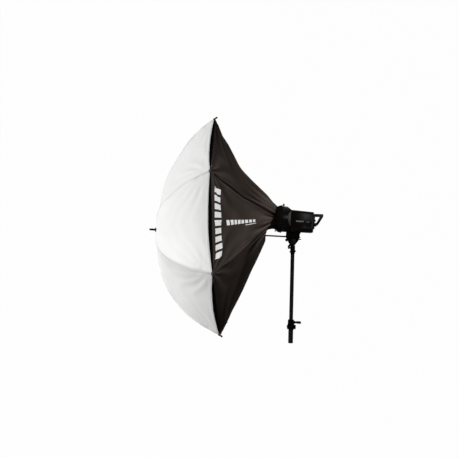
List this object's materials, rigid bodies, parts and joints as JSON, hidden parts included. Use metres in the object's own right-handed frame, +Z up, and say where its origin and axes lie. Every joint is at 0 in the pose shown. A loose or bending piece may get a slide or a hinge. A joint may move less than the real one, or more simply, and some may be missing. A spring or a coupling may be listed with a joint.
{
  "type": "octabox",
  "caption": "Folding umbrella-frame octagonal softbox with white front canopy and black rear cover, tied on a flash head on a tilting bracket and stand top section.",
  "frame": {"origin": "centre of the bottom face of the spigot plug under the stand's top section", "axes": "+Z up the stand column, -X the way the light leaves through the white canopy, +X to the back of the flash head"},
  "size_m": [0.9215, 1.0724, 1.1272],
  "materials": {
    "canopy_fabric": "white ripstop diffusion nylon, matte",
    "cover_fabric": "black coated nylon with a silver lining, soft sheen",
    "cuff_fabric": "black gathered cuff and cord",
    "frame_steel": "plated umbrella steel, satin",
    "black_metal": "satin black powder coat",
    "gloss_black": "black moulded plastic, semi-gloss",
    "matte_black": "black glass-filled nylon, matte",
    "knob_black": "black moulded knobs and caps",
    "reflector": "bright spun aluminium",
    "lamp_glass": "clear quartz and frosted glass",
    "sensor_plastic": "clear moulded dome",
    "red_plastic": "red moulded plastic",
    "capacitor_sleeve": "shrink sleeve",
    "circuit_board": "solder resist"
  },
  "bodies": {
    "stand": {"base_plug": "matte_black", "lower_tube": "black_metal", "lock_collar": "matte_black"},
    "collar_screw": {"collar_knob": "knob_black"},
    "riser": {"riser_tube": "black_metal"},
    "bracket_lower": {"bracket_base": "matte_black"},
    "socket_screw": {"base_knob": "knob_black"},
    "head": {"bracket_head": "matte_black", "tilt_bolt": "black_metal", "lamp_housing": "gloss_black", "front_bell": "gloss_black", "reflector_dish": "reflector", "flash_tube": "lamp_glass", "modelling_lamp": "lamp_glass", "rear_panel": "matte_black", "rear_handle": "gloss_black", "slave_sensor": "sensor_plastic", "capacitor": "capacitor_sleeve", "control_board": "circuit_board"},
    "tilt_lock": {"tilt_lever": "knob_black"},
    "shaft_screw": {"umbrella_knob": "knob_black"},
    "latch": {"latch_pin": "black_metal"},
    "dial_power": {"power_dial": "knob_black"},
    "dial_modelling": {"modelling_dial": "knob_black"},
    "switch_power": {"power_switch": "red_plastic"},
    "button_test": {"test_button": "red_plastic"},
    "umbrella": {"umbrella_shaft": "frame_steel", "front_ferrule": "black_metal", "crown_hub": "matte_black", "front_canopy": "canopy_fabric", "rear_cover": "cover_fabric", "rear_sleeve": "cuff_fabric", "drawcord": "cuff_fabric"},
    "cord_toggle": {"cord_lock": "knob_black"},
    "runner": {"runner": "matte_black"},
    "runner_lock": {"runner_screw": "knob_black"},
    "rib_1": {"rib_1": "frame_steel", "rib_tip_1": "knob_black"},
    "stay_1": {"stretcher_1": "frame_steel"},
    "rib_2": {"rib_2": "frame_steel", "rib_tip_2": "knob_black"},
    "stay_2": {"stretcher_2": "frame_steel"},
    "rib_3": {"rib_3": "frame_steel", "rib_tip_3": "knob_black"},
    "stay_3": {"stretcher_3": "frame_steel"},
    "rib_4": {"rib_4": "frame_steel", "rib_tip_4": "knob_black"},
    "stay_4": {"stretcher_4": "frame_steel"},
    "rib_5": {"rib_5": "frame_steel", "rib_tip_5": "knob_black"},
    "stay_5": {"stretcher_5": "frame_steel"},
    "rib_6": {"rib_6": "frame_steel", "rib_tip_6": "knob_black"},
    "stay_6": {"stretcher_6": "frame_steel"},
    "rib_7": {"rib_7": "frame_steel", "rib_tip_7": "knob_black"},
    "stay_7": {"stretcher_7": "frame_steel"},
    "rib_8": {"rib_8": "frame_steel", "rib_tip_8": "knob_black"},
    "stay_8": {"stretcher_8": "frame_steel"}
  },
  "joints": [
    {"name": "riser_lift", "type": "slide", "parent": "stand", "child": "riser", "axis": [0, 0, 1], "range_m": [0, 0.05]},
    {"name": "tighten_collar_knob", "type": "hinge", "parent": "stand", "child": "collar_screw", "pos_m": [0.0132, 0, 0.108], "axis": [1, 0, 0], "range_deg": [0, 180]},
    {"name": "head_swivel", "type": "hinge", "parent": "riser", "child": "bracket_lower", "pos_m": [0, 0, 0.53], "axis": [0, 0, 1], "continuous": true},
    {"name": "tighten_socket_knob", "type": "hinge", "parent": "bracket_lower", "child": "socket_screw", "pos_m": [0, 0, 0.497], "axis": [-1, 0, 0], "range_deg": [0, 180]},
    {"name": "head_tilt", "type": "hinge", "parent": "bracket_lower", "child": "head", "pos_m": [0, 0, 0.53], "axis": [0, 1, 0], "range_deg": [-25, 60], "stiffness_Nm_per_rad": 3, "springref_deg": 153.32},
    {"name": "tighten_tilt_lever", "type": "hinge", "parent": "head", "child": "tilt_lock", "pos_m": [0, 0, 0.53], "axis": [0, 1, 0], "range_deg": [0, 45]},
    {"name": "tighten_shaft_knob", "type": "hinge", "parent": "head", "child": "shaft_screw", "pos_m": [-0.01295, 0, 0.55135], "axis": [-0.8154, 0, -0.5789], "range_deg": [0, 180]},
    {"name": "spring_latch_pin", "type": "slide", "parent": "head", "child": "latch", "axis": [0.0262, 0, 0.9997], "range_m": [0, 0.004], "stiffness_N_per_m": 400},
    {"name": "turn_power_dial", "type": "hinge", "parent": "head", "child": "dial_power", "pos_m": [0.09901, -0.03, 0.60543], "axis": [0.9997, 0, -0.0262], "range_deg": [-135, 135]},
    {"name": "turn_modelling_dial", "type": "hinge", "parent": "head", "child": "dial_modelling", "pos_m": [0.09901, 0.03, 0.60543], "axis": [0.9997, 0, -0.0262], "range_deg": [-135, 135]},
    {"name": "toggle_power_switch", "type": "hinge", "parent": "head", "child": "switch_power", "pos_m": [0.09491, 0, 0.60154], "axis": [0, 1, 0], "range_deg": [-6, 6]},
    {"name": "test_button_press", "type": "slide", "parent": "head", "child": "button_test", "axis": [-0.9997, 0, 0.0262], "range_m": [0, 0.0025]},
    {"name": "shaft_slide", "type": "slide", "parent": "head", "child": "umbrella", "axis": [-0.9997, 0, 0.0262], "range_m": [0, 0.055]},
    {"name": "squeeze_cord_lock", "type": "slide", "parent": "umbrella", "child": "cord_toggle", "axis": [-0.0123, 0.8829, -0.4693], "range_m": [0, 0.003]},
    {"name": "canopy_fold", "type": "slide", "parent": "umbrella", "child": "runner", "axis": [0.9997, 0, -0.0262], "range_m": [0, 0.33852], "deforming": ["front_canopy", "rear_cover", "rear_sleeve", "drawcord"]},
    {"name": "tighten_runner_screw", "type": "hinge", "parent": "runner", "child": "runner_lock", "pos_m": [-0.5342, 0, 0.568], "axis": [-0.0262, 0, -0.9997], "range_deg": [0, 180]},
    {"name": "fold_rib_1", "type": "hinge", "parent": "umbrella", "child": "rib_1", "pos_m": [-0.71861, 0.01109, 0.57742], "axis": [-0.0242, 0.3827, -0.9236], "range_deg": [0, 50.5]},
    {"name": "fold_stay_1", "type": "hinge", "parent": "rib_1", "child": "stay_1", "pos_m": [-0.65373, 0.24056, 0.67503], "axis": [-0.0242, 0.3827, -0.9236], "range_deg": [-101, 0]},
    {"name": "fold_rib_2", "type": "hinge", "parent": "umbrella", "child": "rib_2", "pos_m": [-0.71844, 0.00459, 0.58391], "axis": [-0.01, 0.9239, -0.3826], "range_deg": [0, 50.5]},
    {"name": "fold_stay_2", "type": "hinge", "parent": "rib_2", "child": "stay_2", "pos_m": [-0.65008, 0.09666, 0.81466], "axis": [-0.01, 0.9239, -0.3826], "range_deg": [-101, 0]},
    {"name": "fold_rib_3", "type": "hinge", "parent": "umbrella", "child": "rib_3", "pos_m": [-0.71844, -0.00459, 0.58391], "axis": [0.01, 0.9239, 0.3826], "range_deg": [0, 50.5]},
    {"name": "fold_stay_3", "type": "hinge", "parent": "rib_3", "child": "stay_3", "pos_m": [-0.65016, -0.10387, 0.81168], "axis": [0.01, 0.9239, 0.3826], "range_deg": [-101, 0]},
    {"name": "fold_rib_4", "type": "hinge", "parent": "umbrella", "child": "rib_4", "pos_m": [-0.71861, -0.01109, 0.57742], "axis": [0.0242, 0.3827, 0.9236], "range_deg": [0, 50.5]},
    {"name": "fold_stay_4", "type": "hinge", "parent": "rib_4", "child": "stay_4", "pos_m": [-0.65392, -0.24355, 0.66783], "axis": [0.0242, 0.3827, 0.9236], "range_deg": [-101, 0]},
    {"name": "fold_rib_5", "type": "hinge", "parent": "umbrella", "child": "rib_5", "pos_m": [-0.71884, -0.01109, 0.56824], "axis": [0.0242, -0.3827, 0.9236], "range_deg": [0, 50.5]},
    {"name": "fold_stay_5", "type": "hinge", "parent": "rib_5", "child": "stay_5", "pos_m": [-0.65917, -0.24056, 0.46737], "axis": [0.0242, -0.3827, 0.9236], "range_deg": [-101, 0]},
    {"name": "fold_rib_6", "type": "hinge", "parent": "umbrella", "child": "rib_6", "pos_m": [-0.71901, -0.00459, 0.56175], "axis": [0.01, -0.9239, 0.3826], "range_deg": [0, 50.5]},
    {"name": "fold_stay_6", "type": "hinge", "parent": "rib_6", "child": "stay_6", "pos_m": [-0.66283, -0.09666, 0.32773], "axis": [0.01, -0.9239, 0.3826], "range_deg": [-101, 0]},
    {"name": "fold_rib_7", "type": "hinge", "parent": "umbrella", "child": "rib_7", "pos_m": [-0.71901, 0.00459, 0.56175], "axis": [-0.01, -0.9239, -0.3826], "range_deg": [0, 50.5]},
    {"name": "fold_stay_7", "type": "hinge", "parent": "rib_7", "child": "stay_7", "pos_m": [-0.66275, 0.10387, 0.33072], "axis": [-0.01, -0.9239, -0.3826], "range_deg": [-101, 0]},
    {"name": "fold_rib_8", "type": "hinge", "parent": "umbrella", "child": "rib_8", "pos_m": [-0.71884, 0.01109, 0.56824], "axis": [-0.0242, -0.3827, -0.9236], "range_deg": [0, 50.5]},
    {"name": "fold_stay_8", "type": "hinge", "parent": "rib_8", "child": "stay_8", "pos_m": [-0.65898, 0.24355, 0.47457], "axis": [-0.0242, -0.3827, -0.9236], "range_deg": [-101, 0]}
  ],
  "couplings": [
    {"joint": "fold_rib_1", "follows": "canopy_fold", "rad_per_m": 2.5779},
    {"joint": "fold_stay_1", "follows": "canopy_fold", "rad_per_m": -5.1558},
    {"joint": "fold_rib_2", "follows": "canopy_fold", "rad_per_m": 2.5779},
    {"joint": "fold_stay_2", "follows": "canopy_fold", "rad_per_m": -5.1558},
    {"joint": "fold_rib_3", "follows": "canopy_fold", "rad_per_m": 2.5779},
    {"joint": "fold_stay_3", "follows": "canopy_fold", "rad_per_m": -5.1558},
    {"joint": "fold_rib_4", "follows": "canopy_fold", "rad_per_m": 2.5779},
    {"joint": "fold_stay_4", "follows": "canopy_fold", "rad_per_m": -5.1558},
    {"joint": "fold_rib_5", "follows": "canopy_fold", "rad_per_m": 2.5779},
    {"joint": "fold_stay_5", "follows": "canopy_fold", "rad_per_m": -5.1558},
    {"joint": "fold_rib_6", "follows": "canopy_fold", "rad_per_m": 2.5779},
    {"joint": "fold_stay_6", "follows": "canopy_fold", "rad_per_m": -5.1558},
    {"joint": "fold_rib_7", "follows": "canopy_fold", "rad_per_m": 2.5779},
    {"joint": "fold_stay_7", "follows": "canopy_fold", "rad_per_m": -5.1558},
    {"joint": "fold_rib_8", "follows": "canopy_fold", "rad_per_m": 2.5779},
    {"joint": "fold_stay_8", "follows": "canopy_fold", "rad_per_m": -5.1558}
  ]
}
